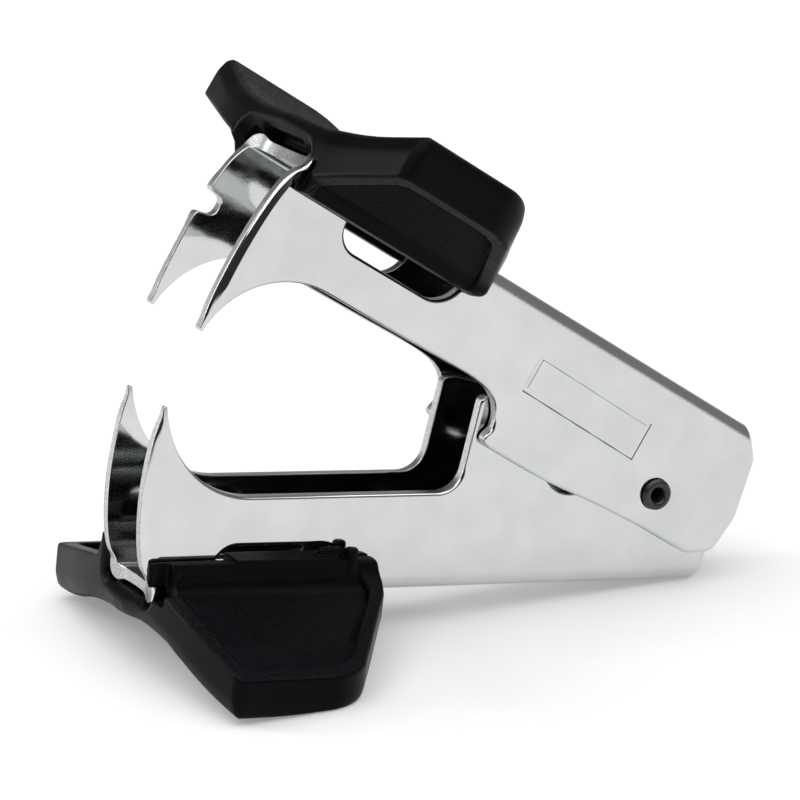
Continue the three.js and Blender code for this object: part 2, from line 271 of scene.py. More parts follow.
def front_edge(jaw):
    """Flat pattern of one half's front edge, from the web's middle to the claw's tip, as (x, s)."""
    f, p, t = jaw.flat, jaw.plate_start, jaw.tangent
    if jaw.flipped:
        web_part = [(-47.75, 0), (-47.8, 0.55 * f), (-48.0, f - 0.3), (-48.5, f + 0.45 * BEND_ARC)]
        edge = [(-49.15, -8.2), (-49.75, -6.8), (-50.08, -5.0), (-50.32, -1.5), (-50.3, 2.0), (-50.1, 5.3)]
    else:
        web_part = [(-48.95, 0), (-49.0, 0.5 * f), (-49.15, f - 0.2), (-49.45, f + 0.5 * BEND_ARC)]
        edge = [(-49.65, -7.3), (-50.3, -6.2), (-50.75, -4.3), (-51.0, -1.0), (-50.85, 2.5), (-50.35, 5.8)]
    cap = jaw.tip - TIP_RADIUS
    edge += [(TIP_X - TIP_RADIUS - 0.04, cap - 0.5), (TIP_X - TIP_RADIUS, cap)]
    line = spline(web_part + [(x, p + z - t) for x, z in edge])
    tip = [(TIP_X + TIP_RADIUS * math.cos(q), p + cap - t + TIP_RADIUS * math.sin(q))
           for q in np.linspace(math.pi, 0, 9)[1:]]
    return line + tip


def plate_back(jaw):
    """The rest of a side plate's outline, from the throat to the web's rear end, as (x, z)."""
    if jaw.flipped:
        hook = spline([(-36.0, jaw.throat - 0.03), (-30.0, -0.57), (-24.3, -0.68), (-22.6, -0.6),
                       (-21.33, -0.38), (-20.4, 0.05), (-19.75, 0.6), (-19.2, 1.4), (-18.95, 2.4),
                       (-19.15, 3.2), (-19.1, 3.72), (-18.3, 4.02), (-17.0, 4.08)], 6)
        rear = [*hook, [-11.1, 4.1, 30.0], [-4.8, 3.55, 20.0], [1.0, 3.28, 8.0], [6.4, 3.3, 1.8],
                [8.85, 1.9, 1.2], [9.3, -1.9, 3.0], [8.0, -7.4, 0.7], [7.2, -8.3]]
    else:
        rear = [[-19.9, jaw.throat, 2.5], [-18.55, 9.05, 0.75], [-17.2, 9.0, 0.6], [-12.5, 7.9, 3.0],
                [-3.0, 6.6, 3.0], [7.4, 5.1, 1.2], [8.2, -3.5, 2.0], [6.9, -7.4]]
    cz = jaw.throat + CLAW_RADIUS
    drop = jaw.tip - TIP_RADIUS - cz
    cx = TIP_X + TIP_RADIUS + math.sqrt(CLAW_RADIUS ** 2 - drop ** 2)
    arc = [(cx + CLAW_RADIUS * math.cos(a), cz + CLAW_RADIUS * math.sin(a))
           for a in np.linspace(math.pi - math.asin(drop / CLAW_RADIUS), 1.5 * math.pi, 27)[1:]]
    return arc[:-1] + rounded([[cx, jaw.throat]] + rear)


def jaw_loops(jaw):
    """The sheet's outline and its holes in the flat pattern; s runs across, from plate to plate."""
    p, t = jaw.plate_start, jaw.tangent
    front = [np.array(q) for q in front_edge(jaw)]
    back = [np.array((x, p + z - t)) for x, z in plate_back(jaw)]
    heel = back[-1]
    web_rear = 6.0 if jaw.flipped else 6.3
    tail = spline([heel, (web_rear + 0.35, p - 0.55 * BEND_ARC), (web_rear, jaw.flat), (web_rear, 0)])[1:]
    half = front + back + tail
    other = [q * [1, -1] for q in half]
    if jaw.flipped:
        other = cut_notch(other, jaw)
    # Up one side from the lip to the heel, and back along the other.
    outline = half + other[::-1][1:-1]
    # In each plate a window for the grip's lug and the rivet's hole; the inner jaw's have a round one too.
    holes = []
    low = -jaw.web + 1.8
    for side in (1, -1):
        if jaw.flipped:
            left, right, top, rear_radius = -42.3, -29.0 - 0.4 * (side < 0), -4.55, 3.0
        else:
            left, right, top, rear_radius = -43.6, -31.2, -4.3, 2.2
        corners = [[left, low, 0.4], [right, low, 0.4], [right, top, rear_radius], [left, top, 2.1]]
        window = rounded(corners, closed=True)
        holes.append([(x, side * (p + z - t)) for x, z in window])
        holes.append([(x, side * (s + p - t)) for x, s in circle(0, 0, 1.2)])
        if not jaw.flipped:
            holes.append([(x, side * (s + p - t)) for x, s in circle(-8.4, 2.5, 2.6, 48)])

    def step(q):
        in_bend = jaw.flat - 0.4 < abs(q[1]) < p + 0.4
        return BEND_STEP if in_bend else PLATE_STEP

    loops = [resample(loop, step) for loop in [outline] + holes]
    for k, loop in enumerate(loops):
        if (signed_area(loop) > 0) != (k == 0):
            loops[k] = loop[::-1].copy()
    return loops


def cut_notch(points, jaw):
    """The small slot in the front edge of the upper jaw's far plate."""
    p, t = jaw.plate_start, jaw.tangent
    z = np.array([-(q[1]) - p + t for q in points])
    x = np.array([q[0] for q in points])
    first = next(i for i in range(len(points)) if z[i] > -4.2 and x[i] < -49)
    last = max(i for i in range(len(points)) if z[i] < -0.7 and x[i] < -49.5)
    slot = rounded([[x[first], z[first]], [-50.2, -3.5, 0.35], [-48.5, -3.2, 0.6], [-48.55, -1.6, 0.75],
                    [-50.3, -1.25, 0.4], [x[last], z[last]]])
    cut = [np.array((a, -(p + b - t))) for a, b in slot]
    return points[:first] + cut + points[last + 1:]


def fold(jaw, x, s, h):
    """Flat pattern (x, s) at height h above the sheet's middle, folded into the channel."""
    side = np.sign(s) + (s == 0)
    a = np.abs(s)
    turned = np.clip((a - jaw.flat) / BEND_MIDDLE, 0, math.pi / 2)
    # The swelling of the bends at the lip.
    lip = -48.35 if jaw.flipped else -49.3
    along = np.exp(-((x - lip) / HORN_LENGTH) ** 2)
    across = np.exp(-((a - jaw.flat - 0.5 * BEND_ARC) / HORN_WIDTH) ** 2)
    # The claws thin out towards their tips.
    under = np.clip((jaw.tip - (a - jaw.plate_start + jaw.tangent)) / TIP_TAPER, 0, 1)
    h = h * np.where(x < CLAW_ZONE, jaw.blunt + (1 - jaw.blunt) * under * (2 - under), 1)
    rise = HORN_RISE * np.where((side < 0) != jaw.flipped, 1.0, FAR_HORN)
    h = h + rise * along * across * (0.5 + h / STEEL)
    reach = BEND_MIDDLE + h
    beyond = np.maximum(a - jaw.plate_start, 0)
    y = np.minimum(a, jaw.flat) + reach * np.sin(turned)
    z = jaw.tangent - reach * np.cos(turned) + beyond
    return np.stack([x, side * y, z], -1)


def edge_widths(jaw, loop, inward, z):
    """Widths of the rollover and of the inner burr's break along a loop of the outline."""
    x, s = loop.T
    on_plate = np.clip(np.abs(s) - jaw.plate_start, 0, 1)
    front = np.clip(2 * inward[:, 0] - 0.3, 0, 1) * (x < FRONT_ZONE) * on_plate
    roll = ROLLOVER + (FRONT_ROLLOVER - ROLLOVER) * front
    roll = np.where((x < FRONT_ZONE) & (np.abs(s) < jaw.flat + 0.6 * BEND_ARC), 0.14, roll)
    if jaw.flipped:
        slot = np.clip(2.6 - np.abs(z + 2.5), 0, 1) * (s < 0) * (x < FRONT_ZONE)
        roll = roll * (1 - slot) + 0.16 * slot
    below_tip = np.clip((jaw.tip - z) / 6, 0, 1) + (x > -46)
    roll = np.minimum(roll, 0.08 + (0.35 + 0.65 * front) * below_tip ** 0.8 + (x > -46))
    # A rounded corner of the outline leaves room only for a rollover narrower than its radius.
    step = np.linalg.norm(np.roll(loop, -1, 0) - loop, axis=1)
    along = np.concatenate([[0], np.cumsum(step)[:-1]])
    gap = np.abs(along[:, None] - along)
    gap = np.minimum(gap, step.sum() - gap)
    a, b = loop - np.roll(loop, 1, 0), np.roll(loop, -1, 0) - loop
    turn = np.arctan2(a[:, 0] * b[:, 1] - a[:, 1] * b[:, 0], (a * b).sum(1))
    bent = (gap < 0.3) @ np.maximum(turn, 0)
    roll = np.minimum(roll, 0.3 / np.maximum(bent, 0.05))
    close = gap < 0.5
    roll = np.array([roll[c].min() for c in close])
    roll = (close @ roll) / close.sum(1)
    return roll, np.minimum(BURR, 0.6 * roll)


def panel_distance(x, z):
    """Distance to the outline of the plain panel; negative inside."""
    middle = PANEL_Z + PANEL_TILT * (x - PANEL_X)
    dx, dz = np.abs(x - PANEL_X) - PANEL_HALF[0], np.abs(z - middle) - PANEL_HALF[1]
    return np.hypot(np.maximum(dx, 0), np.maximum(dz, 0)) + np.minimum(np.maximum(dx, dz), 0)


def panel_depth(x, z):
    """Depth of the pressed frame and floor of the panel on the upper jaw's near plate."""
    d = panel_distance(x, z)
    into = np.clip(-d / 0.16, 0, 1)
    out = np.clip((-d - 0.4) / 0.16, 0, 1)
    return 0.085 * (into * into * (3 - 2 * into)) - 0.05 * (out * out * (3 - 2 * out))


def relief(jaw, x, s):
    """Height of the outer face over the plain sheet."""
    if not jaw.flipped:
        return np.zeros_like(x)
    z = np.abs(s) - jaw.plate_start + jaw.tangent
    return -panel_depth(x, z) * (s > 0)


def build_jaw(name, node, jaw):
    loops = jaw_loops(jaw)
    p, t = jaw.plate_start, jaw.tangent
    points, normals, faces, cut, bend = [], [], [], [], []
    rings = []

    def emit(x, s, h, nx, ns, nh, edge=0.0):
        """Adds vertices, with normals given in the pattern's own directions."""
        base = fold(jaw, x, s, h)
        e = 1e-3
        tx = (fold(jaw, x + e, s, h) - fold(jaw, x - e, s, h)) / (2 * e)
        ts = (fold(jaw, x, s + e, h) - fold(jaw, x, s - e, h)) / (2 * e)
        th = unit(np.cross(ts, tx))
        out = fold(jaw, x, s, h + 0.01) - base
        th *= np.sign(np.sum(th * out, -1, keepdims=True))
        n = unit(nx[:, None] * unit(tx) + ns[:, None] * unit(ts) + nh[:, None] * th)
        first = sum(len(q) for q in points)
        points.append(base)
        normals.append(n)
        cut.append(np.full(len(x), edge))
        bend.append(np.exp(-((np.abs(s) - p) / 0.45) ** 2) + 0.35 * (np.abs(s) < p))
        return np.arange(first, first + len(x))

    top, bottom = STEEL / 2, -STEEL / 2
    for loop in loops:
        before, after = np.roll(loop, 1, 0), np.roll(loop, -1, 0)
        e0, e1 = unit(loop - before), unit(after - loop)
        n0 = np.stack([-e0[:, 1], e0[:, 0]], -1)
        n1 = np.stack([-e1[:, 1], e1[:, 0]], -1)
        inward = unit(n0 + n1)
        miter = 1 / np.maximum((inward * n0).sum(-1), 0.6)
        z = np.abs(loop[:, 1]) - p + t
        roll, burr = edge_widths(jaw, loop, inward, z)
        deep = np.minimum(roll, ROLLOVER_DEPTH)
        bevelled = np.clip((roll - ROLLOVER) / (FRONT_ROLLOVER - ROLLOVER), 0, 1)
        profile = []
        for q, (inset, drop, tilt) in zip(np.linspace(0, math.pi / 2, 7), BEVEL):
            tilt = math.radians(tilt)
            slope = unit(np.stack([math.sin(q) * deep, math.cos(q) * roll], -1)) * (1 - bevelled)[:, None]
            slope = unit(slope + np.outer(bevelled, (math.sin(tilt), math.cos(tilt))))
            inset = roll * ((1 - math.sin(q)) * (1 - bevelled) + inset * bevelled)
            drop = deep * (1 - math.cos(q)) * (1 - bevelled) + drop * bevelled
            profile.append((inset, top - drop, slope[:, 0], slope[:, 1]))
        for q in np.linspace(0, math.pi / 2, 4):
            c, d = math.cos(q), math.sin(q)
            profile.append((burr * (1 - c), bottom + burr * (1 - d), c, -d))
        columns = []
        for inset, height, outward, upward in profile:
            q = loop + inward * (miter * inset)[:, None]
            nx, ns = (-inward * np.reshape(outward, (-1, 1))).T
            edge = float(np.max(outward) > 0.95)
            columns.append(emit(q[:, 0], q[:, 1], height, nx, ns, np.zeros(len(q)) + upward, edge))
        for a, b in zip(columns, columns[1:]):
            for i in range(len(a)):
                j = (i + 1) % len(a)
                faces.append((a[i], b[i], b[j], a[j]))
        rings.append((loop, inward * miter[:, None], roll, burr, columns[0], columns[-1]))

    # Both faces of the sheet, with rows of points across the bends and over the panel.
    lo, hi = loops[0].min(0), loops[0].max(0)
    rows = []
    for s in np.linspace(jaw.flat - 0.25, p + 0.2, 13):
        for x in np.arange(lo[0], hi[0], 0.9):
            rows += [(x, s), (x, -s)]
        for x in np.arange(lo[0], -46.3, 0.2):
            rows += [(x + 0.07, s), (x + 0.07, -s)]
    for s in np.arange(0, jaw.flat - 0.3, 0.45):
        for x in np.arange(lo[0], -45.8, 0.3):
            rows += [(x, s), (x, -s)] if s else [(x, s)]
    panel = []
    if jaw.flipped:
        grid = np.meshgrid(np.arange(-18.9, -3.6, PANEL_STEP), np.arange(-6.1, -1.2, PANEL_STEP))
        grid = np.stack(grid, -1).reshape(-1, 2)
        d = panel_distance(*grid.T)
        grid = grid[(d < 0.22) & (d > -0.75)]
        panel = [(x, p + z - t) for x, z in grid]
    for which, (column, height, sign) in enumerate(((4, top, 1), (5, bottom, -1))):
        boundary = []
        edges = []
        ids = []
        for ring in rings:
            loop, direction, roll, burr = ring[:4]
            inset = roll if which == 0 else burr
            q = loop + direction * inset[:, None]
            start = len(boundary)
            boundary += [tuple(v) for v in q]
            edges += [(start + i, start + (i + 1) % len(q)) for i in range(len(q))]
            ids += list(ring[column])
        flat = [np.array(boundary[0:len(rings[0][0])])]
        start = len(rings[0][0])
        for ring in rings[1:]:
            flat.append(np.array(boundary[start:start + len(ring[0])]))
            start += len(ring[0])
        extra = np.array(rows + (panel if which == 0 else []))
        extra = extra[inside(extra, flat)]
        extra = extra[distance_to(extra, flat) > 0.14]
        coords = [Vector(v) for v in boundary] + [Vector(v) for v in extra]
        verts, _, tris, origin, _, _ = delaunay_2d_cdt(coords, edges, [], 0, 1e-7, True)
        centre = np.array([[sum(verts[i][k] for i in f) / 3 for k in (0, 1)] for f in tris])
        keep = inside(centre, flat)
        # A triangle on the outline belongs to the sheet when it runs along the loop's own direction.
        following = dict(edges)
        for k, f in enumerate(tris):
            ends = [origin[i][0] for i in f]
            for u, v in zip(ends, ends[1:] + ends[:1]):
                if following.get(u) == v:
                    keep[k] = True
                elif following.get(v) == u:
                    keep[k] = False
        x, across = extra.T
        e = 0.01
        lift = relief(jaw, x, across) * (which == 0)
        gx = (relief(jaw, x + e, across) - relief(jaw, x - e, across)) / (2 * e) * (which == 0)
        gs = (relief(jaw, x, across + e) - relief(jaw, x, across - e)) / (2 * e) * (which == 0)
        extra_ids = emit(x, across, height + lift, -gx, -gs, np.full(len(x), float(sign)))
        all_ids = ids + list(extra_ids)
        lookup = [all_ids[o[0]] for o in origin]
        for f, ok in zip(tris, keep):
            if ok:
                a, b, c = (lookup[i] for i in f)
                faces.append((a, b, c) if sign > 0 else (c, b, a))
    points = np.vstack(points)
    normals = np.vstack(normals)
    # A flip keeps handedness, so faces that end up inward are turned once for the whole mesh.
    q = jaw.place(points)
    faces = facing_out(q, faces)
    masks = {"cut": np.concatenate(cut), "bend": np.concatenate(bend)}
    obj = make_object(name, q, faces, jaw.turn(normals), masks=masks)
    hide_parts(node)
    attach(obj, jaw.body)
    return obj


lower_jaw = build_jaw("lower_jaw_plate", "inner_jaw", INNER)
upper_jaw = build_jaw("upper_jaw_plate", "outer_jaw", OUTER)

# ---------------------------------------------------------------- moulded solids


def r_max(a, b, r):
    """Intersection of two solids with their meeting edge rounded."""
    if r <= 0:
        return np.maximum(a, b)
    return np.minimum(np.maximum(a, b), -r) + np.hypot(np.maximum(a + r, 0), np.maximum(b + r, 0))


def r_min(a, b, r):
    """Union of two solids with a fillet where they meet."""
    return -r_max(-a, -b, r)


def carve(a, b, r):
    return r_max(a, -b, r)


def line_side(x, y, p, q):
    """Signed distance to the line p-q; negative on the right-hand side going from p to q."""
    dx, dy = q[0] - p[0], q[1] - p[1]
    return ((x - p[0]) * -dy + (y - p[1]) * dx) / math.hypot(dx, dy)


def ramp_up(d, softness):
    """Zero below d = 0 and d above it, with a soft corner."""
    return 0.5 * (d + np.sqrt(d ** 2 + softness))


def box_solid(x, y, z, x0, x1, y0, y1, z0, z1, r):
    d = r_max(np.maximum(x0 - x, x - x1), np.maximum(y0 - y, y - y1), r)
    return r_max(d, np.maximum(z0 - z, z - z1), r)


def surface_net(f, lo, hi, cell):
    """A closed quad mesh of f = 0, with its vertices pulled onto the surface, and the normals there."""
    n = [int(math.ceil((b - a) / cell)) + 1 for a, b in zip(lo, hi)]
    axes = [a + cell * np.arange(k) for a, k in zip(lo, n)]
    v = f(*np.meshgrid(*axes, indexing="ij"))
    solid = v < 0
    count = np.zeros([k - 1 for k in n])
    total = np.zeros([k - 1 for k in n] + [3])
    corner = [(i, j, k) for i in (0, 1) for j in (0, 1) for k in (0, 1)]

    def part(g, c):
        return g[c[0]:n[0] - 1 + c[0], c[1]:n[1] - 1 + c[1], c[2]:n[2] - 1 + c[2]]

    for a in corner:
        for d in range(3):
            if a[d]:
                continue
            b = tuple(1 if i == d else a[i] for i in range(3))
            va, vb = part(v, a), part(v, b)
            hit = part(solid, a) != part(solid, b)
            t = np.where(hit, va / np.where(va == vb, 1, va - vb), 0)
            for i in range(3):
                total[..., i] += np.where(hit, a[i] + (t if i == d else 0), 0)
            count += hit
    used = count > 0
    index = np.full(used.shape, -1)
    index[used] = np.arange(used.sum())
    where = np.argwhere(used)
    p = np.array(lo) + cell * (where + total[used] / count[used][:, None])
    quads = []
    for d in range(3):
        u, w = (d + 1) % 3, (d + 2) % 3
        a = [slice(None)] * 3
        b = [slice(None)] * 3
        a[d], b[d] = slice(0, n[d] - 1), slice(1, n[d])
        for i in (u, w):
            a[i] = b[i] = slice(1, n[i] - 1)
        sa, sb = solid[tuple(a)], solid[tuple(b)]
        at = np.argwhere(sa != sb)
        leaving = sa[tuple(at.T)]
        at[:, u] += 1
        at[:, w] += 1
        ring = []
        for du, dw in ((-1, -1), (0, -1), (0, 0), (-1, 0)):
            c = at.copy()
            c[:, u] += du
            c[:, w] += dw
            ring.append(index[tuple(c.T)])
        ring = np.stack(ring, -1)
        ring[~leaving] = ring[~leaving][:, ::-1]
        quads.append(ring)

    def gradient(q, e=0.02):
        g = [f(*(q + e * np.eye(3)[i]).T) - f(*(q - e * np.eye(3)[i]).T) for i in range(3)]
        return np.stack(g, -1) / (2 * e)

    for _ in range(4):
        g = gradient(p)
        move = -f(*p.T)[:, None] * g / np.maximum((g * g).sum(-1), 0.2)[:, None]
        length = np.linalg.norm(move, axis=1, keepdims=True)
        p = p + move * np.minimum(1, 0.5 * cell / np.maximum(length, 1e-9))
    return p, np.vstack(quads), unit(gradient(p, 0.04))


HALF_SPAN = 19.95
RIM_DROP = 11.45
RIM_SLOPES = 0.31, 0.2       # near wing, far wing
TRAY_DEPTH = 2.3
WALL = 1.4
SADDLE = 2.4
WING_SPAN = 12.0             # from a wing's end to where its finger face meets the saddle
CREASE = 1.6                 # above the finger face, where the outer wall starts to lean in
WALL_LEAN = 0.33


def wing_plan(jaw, x, a, inset=0.0, front_corner=1.0, rear_corner=2.2):
    """Distance to a wing's outline in plan; a is the distance from the middle plane."""
    further = jaw.back - INNER.back
    front = line_side(x, a, (-50.25 + inset, 0), (-49.7 + inset, 9))
    front2 = line_side(x, a, (-49.85 + inset, 8.5), (jaw.front_end + inset, HALF_SPAN))
    end = a - HALF_SPAN + inset
    rear = line_side(x, a, (-36.6 + jaw.back - inset, HALF_SPAN), (-27.95 + further - inset * 0.9, 7.2))
    rear2 = line_side(x, a, (-28.1 + further - inset, 7.2), (-28.5 - inset, 0))
    d = r_max(r_max(front, front2, 0.5), end, front_corner)
    return r_max(d, r_max(rear, rear2, 0.5), rear_corner)


def finger_face(jaw, a, middle):
    """Height of the finger face: flat at a wing's end, steeper in its middle, then the saddle."""
    u = np.clip((HALF_SPAN - a) / WING_SPAN, 0, 1.4)
    wing = jaw.tip_drop + jaw.scoop * np.sin(math.pi * u) * (u < 1) * -0.35 + 3.6 * u
    k = 1.6
    h = np.clip(0.5 + 0.5 * (wing - middle) / k, 0, 1)
    return wing * (1 - h) + middle * h - k * h * (1 - h)


def grip(jaw):
    face = jaw.half + GAP
    web = -jaw.web - GAP
    middle = web - SADDLE + (-0.2 if jaw.flipped else 0.2)
    lip = -48.5 if jaw.flipped else -49.1

    def solid(x, y, z):
        """Distance to the grip's surface, negative inside; near is the wing towards the camera."""
        a = np.sqrt(y * y + 1e-6)
        near = (y < 0) != jaw.flipped
        wall = np.where(near, WALL, jaw.far_wall)
        rim = np.where(near, -RIM_DROP, jaw.far_rim) + np.where(near, *RIM_SLOPES) * (HALF_SPAN - a)
        toward_far = np.clip(0.5 + np.where(near, -a, a) / 4, 0, 1) * (not jaw.flipped)
        inward = np.clip((HALF_SPAN - a) / WING_SPAN, 0, 1)
        base = finger_face(jaw, a, middle) + toward_far * (0.4 - 0.85 * inward)
        # The outer wall is upright; from a crease near the finger face it leans in a little.
        plan = wing_plan(jaw, x, a)
        above = base + CREASE - z
        wall_line = (plan + WALL_LEAN * ramp_up(above, 0.1)) / np.where(above > 0, 1.05, 1)
        body = r_max(wall_line, (z - rim) / 1.05, 0.3)
        side = box_solid(x, a, z, -50.3, -28.3, face, face + wall, middle, jaw.wall_top, 0.35)
        body = np.maximum(r_min(body, side, 1.9), wall_line)
        floor = np.maximum(rim - TRAY_DEPTH, -7.6 - 0.635 * (a - face - wall))
        tray = r_max(wing_plan(jaw, x, a, 1.75, 1.0, 1.6), (floor - z) / 1.08, 0.35)
        tray = r_max(tray, face + wall - a, 1.0)
        body = carve(body, tray, 0.38)
        body = r_max(body, (base - z) / 1.05, 0.7)
        # The jaw's channel, closer to the jaw at the front, where it shows.
        snug = 0.17 * np.clip(-48 - x, 0, 1)
        channel = r_max(a - face + snug, web + snug * (not jaw.flipped) - z, BEND_RADIUS)
        body = carve(body, channel, 0.12)
        # Room for the jaw's flared lip: a slot across the front, a pocket round each horn and, on the
        # near side, a notch beside the horn.
        mouth = r_max(r_max(a - jaw.flat + 0.2, x + 47.0, 0.3), web - jaw.lip_gap - z, 0.3)
        body = carve(body, mouth, 0.15)
        # Round the jaw the front slopes back to the lip.
        slope = x - lip + ramp_up(web - z, 0.2) + 0.7 * ramp_up(a - jaw.half, 0.2)
        body = r_max(body, -slope / 1.3, 0.3)
        skin_front = -49.2 if jaw.flipped else -50.15
        skin = box_solid(x, a, z, skin_front, -47.0, face - 0.1, face + 0.55, -jaw.web, jaw.wall_top, 0.1)
        body = np.where(near, np.minimum(body, skin), body)
        pocket = np.where(near, 1.5, 1.1)
        horn = np.maximum(np.hypot(a - jaw.half + 0.55, z + jaw.web - 0.55) - pocket, x + 47.2)
        body = carve(body, horn, 0.12)
        beside = box_solid(x, a, z, -52, -48.4, face + 0.6, jaw.half + 3.2, -jaw.web + 0.25, 0, 0.3)
        body = carve(body, np.where(near, beside, 1.0), 0.12)
        # A lug through each plate's window and, on the lower grip, a post and a peg beside it.
        lug_rear = -29.6 if jaw.flipped else -32.0
        lug_top = np.where(near, jaw.wall_top + 0.3, -jaw.web + 3.15)
        lug = box_solid(x, a, z, -42.2, lug_rear, jaw.half - STEEL - 0.2, face + wall,
                        -jaw.web + 2.1, lug_top, 0.15)
        body = np.minimum(body, lug)
        if not jaw.flipped:
            post = box_solid(x, a, z, -34.0, -31.3, face, face + 0.8, -jaw.web + 1.5, -4.35, 0.5)
            column = np.maximum(-jaw.web + 1.5 - z, z + 4.3)
            peg = r_max(np.hypot(x + 30.85, a - face - 1.0) - 0.62, column, 0.3)
            body = r_min(r_min(body, post, 0.3), peg, 0.2)
            # Nothing goes below the ground that the part stands on.
            foot = -(z * math.cos(REST_TILT) - x * math.sin(REST_TILT) + PIVOT[2])
            body = r_max(body, foot, 0.3)
        return body

    return solid


def build_grip(name, node, jaw, cell):
    low = (-51.0, -20.6, -16.2)
    high = (-26.2, 20.6, -3.0)
    p, quads, normals = surface_net(grip(jaw), low, high, cell)
    q = jaw.place(p)
    n = jaw.turn(normals)
    a, b, c = q[quads[:, 0]], q[quads[:, 1]], q[quads[:, 2]]
    if np.sum(np.einsum("ij,ij->i", a, np.cross(b, c))) < 0:
        quads = quads[:, ::-1]
    finger = np.clip(-normals[:, 2] * 3 - 1.7, 0, 1)
    tray = np.clip(normals[:, 2] * 3 - 1.7, 0, 1)
    obj = make_object(name, q, quads, n, masks={"finger": finger, "tray": tray})
    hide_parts(node)
    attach(obj, jaw.body)
    return obj


cell = 0.24
lower_grip = build_grip("lower_finger_grip", "lower_grip", INNER, cell)
upper_grip = build_grip("upper_finger_grip", "upper_grip", OUTER, cell)

# ---------------------------------------------------------------- rivet and spring


def lathe(profile, n=64):
    """Points and faces of a closed profile (r, y) turned about the Y axis."""
    pts, faces = [], []
    m = len(profile)
    for k in range(n):
        t = 2 * math.pi * k / n
        pts += [(r * math.cos(t), y, r * math.sin(t)) for r, y in profile]
    for k in range(n):
        k2 = (k + 1) % n
        for i in range(m):
            j = (i + 1) % m
            faces.append((k * m + i, k * m + j, k2 * m + j, k2 * m + i))
    return np.array(pts), faces


RIVET_RADIUS, RIVET_BORE = 1.45, 0.68


def rivet_profile():
    """Half the rivet's section as (r, y): the shank, then the rolled head and its bore."""
    face = OUTER.half + 0.12
    end = face + 0.5
    ring_r = (RIVET_RADIUS - RIVET_BORE) / 2
    mid = RIVET_BORE + ring_r
    half = [(1.1, face)]
    half += [(mid + ring_r * math.sin(t), face + 0.12 + (end - face - 0.12) * max(0.0, math.cos(t)) ** 0.9)
             for t in np.linspace(math.pi / 2, -math.pi / 2, 17)]
    half += [(RIVET_BORE, face - 0.6)]
    half[1:2] = [(RIVET_RADIUS - 0.06, face), (RIVET_RADIUS, face + 0.06), half[1]]
    return half


half = rivet_profile()
points, faces = lathe([(r, -y) for r, y in half][::-1] + half)
points = INNER.place(points)
rivet = make_object("hollow_rivet", points, facing_out(points, faces))
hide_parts("pivot_rivet")
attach(rivet, "lower_jaw")

WIRE, COIL, PITCH, TURNS, LEG = 0.42, 2.25, 1.3, 3, 14.0


def spring_line():
    """Centre line of the torsion spring in the lower jaw's frame."""
    def leg(web, turn, upward):
        rest = web - STEEL - GAP - WIRE
        x, z = -LEG, (rest if upward else -rest)
        return np.array([x * math.cos(turn) + z * math.sin(turn), z * math.cos(turn) - x * math.sin(turn)])

    low, high = leg(INNER.web, 0, False), leg(OUTER.web, OPEN_ANGLE, True)
    spread = [math.acos(COIL / np.linalg.norm(e)) for e in (low, high)]
    start = math.atan2(low[1], low[0]) + spread[0]
    stop = math.atan2(high[1], high[0]) - spread[1]
    while stop < start:
        stop += 2 * math.pi
    sweep = stop - start + 2 * math.pi * TURNS
    reach = PITCH * sweep / (4 * math.pi)
    n = 168
    angle = start + sweep * np.arange(n + 1) / n
    coil = np.stack([COIL * np.cos(angle), reach * (2 * np.arange(n + 1) / n - 1), COIL * np.sin(angle)], -1)
    t = np.linspace(0, 1, 9)[:, None]
    first = np.array([low[0], -reach, low[1]]) * (1 - t) + coil[0] * t
    last = coil[-1] * (1 - t) + np.array([high[0], reach, high[1]]) * t
    return np.vstack([first[:-1], coil, last[1:]]), reach


def sweep_tube(path, radius, n=14):
    """A round wire along the path, its ends rounded off."""
    tangent = unit(np.gradient(path, axis=0))
    side = unit(np.cross(tangent[0], [0, 1, 0]))
    rings = []
    stations = [(path[0] - tangent[0] * radius * (1 - c), radius * s, tangent[0])
                for c, s in ((0.2, 0.6), (0.6, 0.92))]
    stations += [(q, radius, t) for q, t in zip(path, tangent)]
    stations += [(path[-1] + tangent[-1] * radius * (1 - c), radius * s, tangent[-1])
                 for c, s in ((0.6, 0.92), (0.2, 0.6))]
    for centre, r, t in stations:
        side = unit(side - t * np.dot(side, t))
        other = np.cross(t, side)
        rings.append([centre + r * (math.cos(a) * side + math.sin(a) * other)
                      for a in np.linspace(0, 2 * math.pi, n, endpoint=False)])
    pts = np.array(rings).reshape(-1, 3)
    faces = [(k * n + i, k * n + (i + 1) % n, (k + 1) * n + (i + 1) % n, (k + 1) * n + i)
             for k in range(len(rings) - 1) for i in range(n)]
    faces += [tuple(range(n))[::-1], tuple((len(rings) - 1) * n + i for i in range(n))]
    return pts, faces


path, reach = spring_line()
points, faces = sweep_tube(path, WIRE)
points = INNER.place(points)
spring = make_object("torsion_spring_wire", points, facing_out(points, faces))
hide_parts("torsion_spring")
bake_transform(spring)

# ---------------------------------------------------------------- materials


def new_material(name):
    m = bpy.data.materials.new(name)
    m.use_nodes = True
    nodes, links = m.node_tree.nodes, m.node_tree.links
    return m, nodes, links, nodes["Principled BSDF"]


def noise(nodes, links, coord, scale, detail=3.0, roughness=0.55, stretch=None):
    source = coord
    if stretch:
        mapping = nodes.new("ShaderNodeMapping")
        mapping.inputs["Scale"].default_value = stretch
        links.new(coord, mapping.inputs["Vector"])
        source = mapping.outputs["Vector"]
    n = nodes.new("ShaderNodeTexNoise")
    n.inputs["Scale"].default_value = scale
    n.inputs["Detail"].default_value = detail
    n.inputs["Roughness"].default_value = roughness
    links.new(source, n.inputs["Vector"])
    return n.outputs["Fac"]


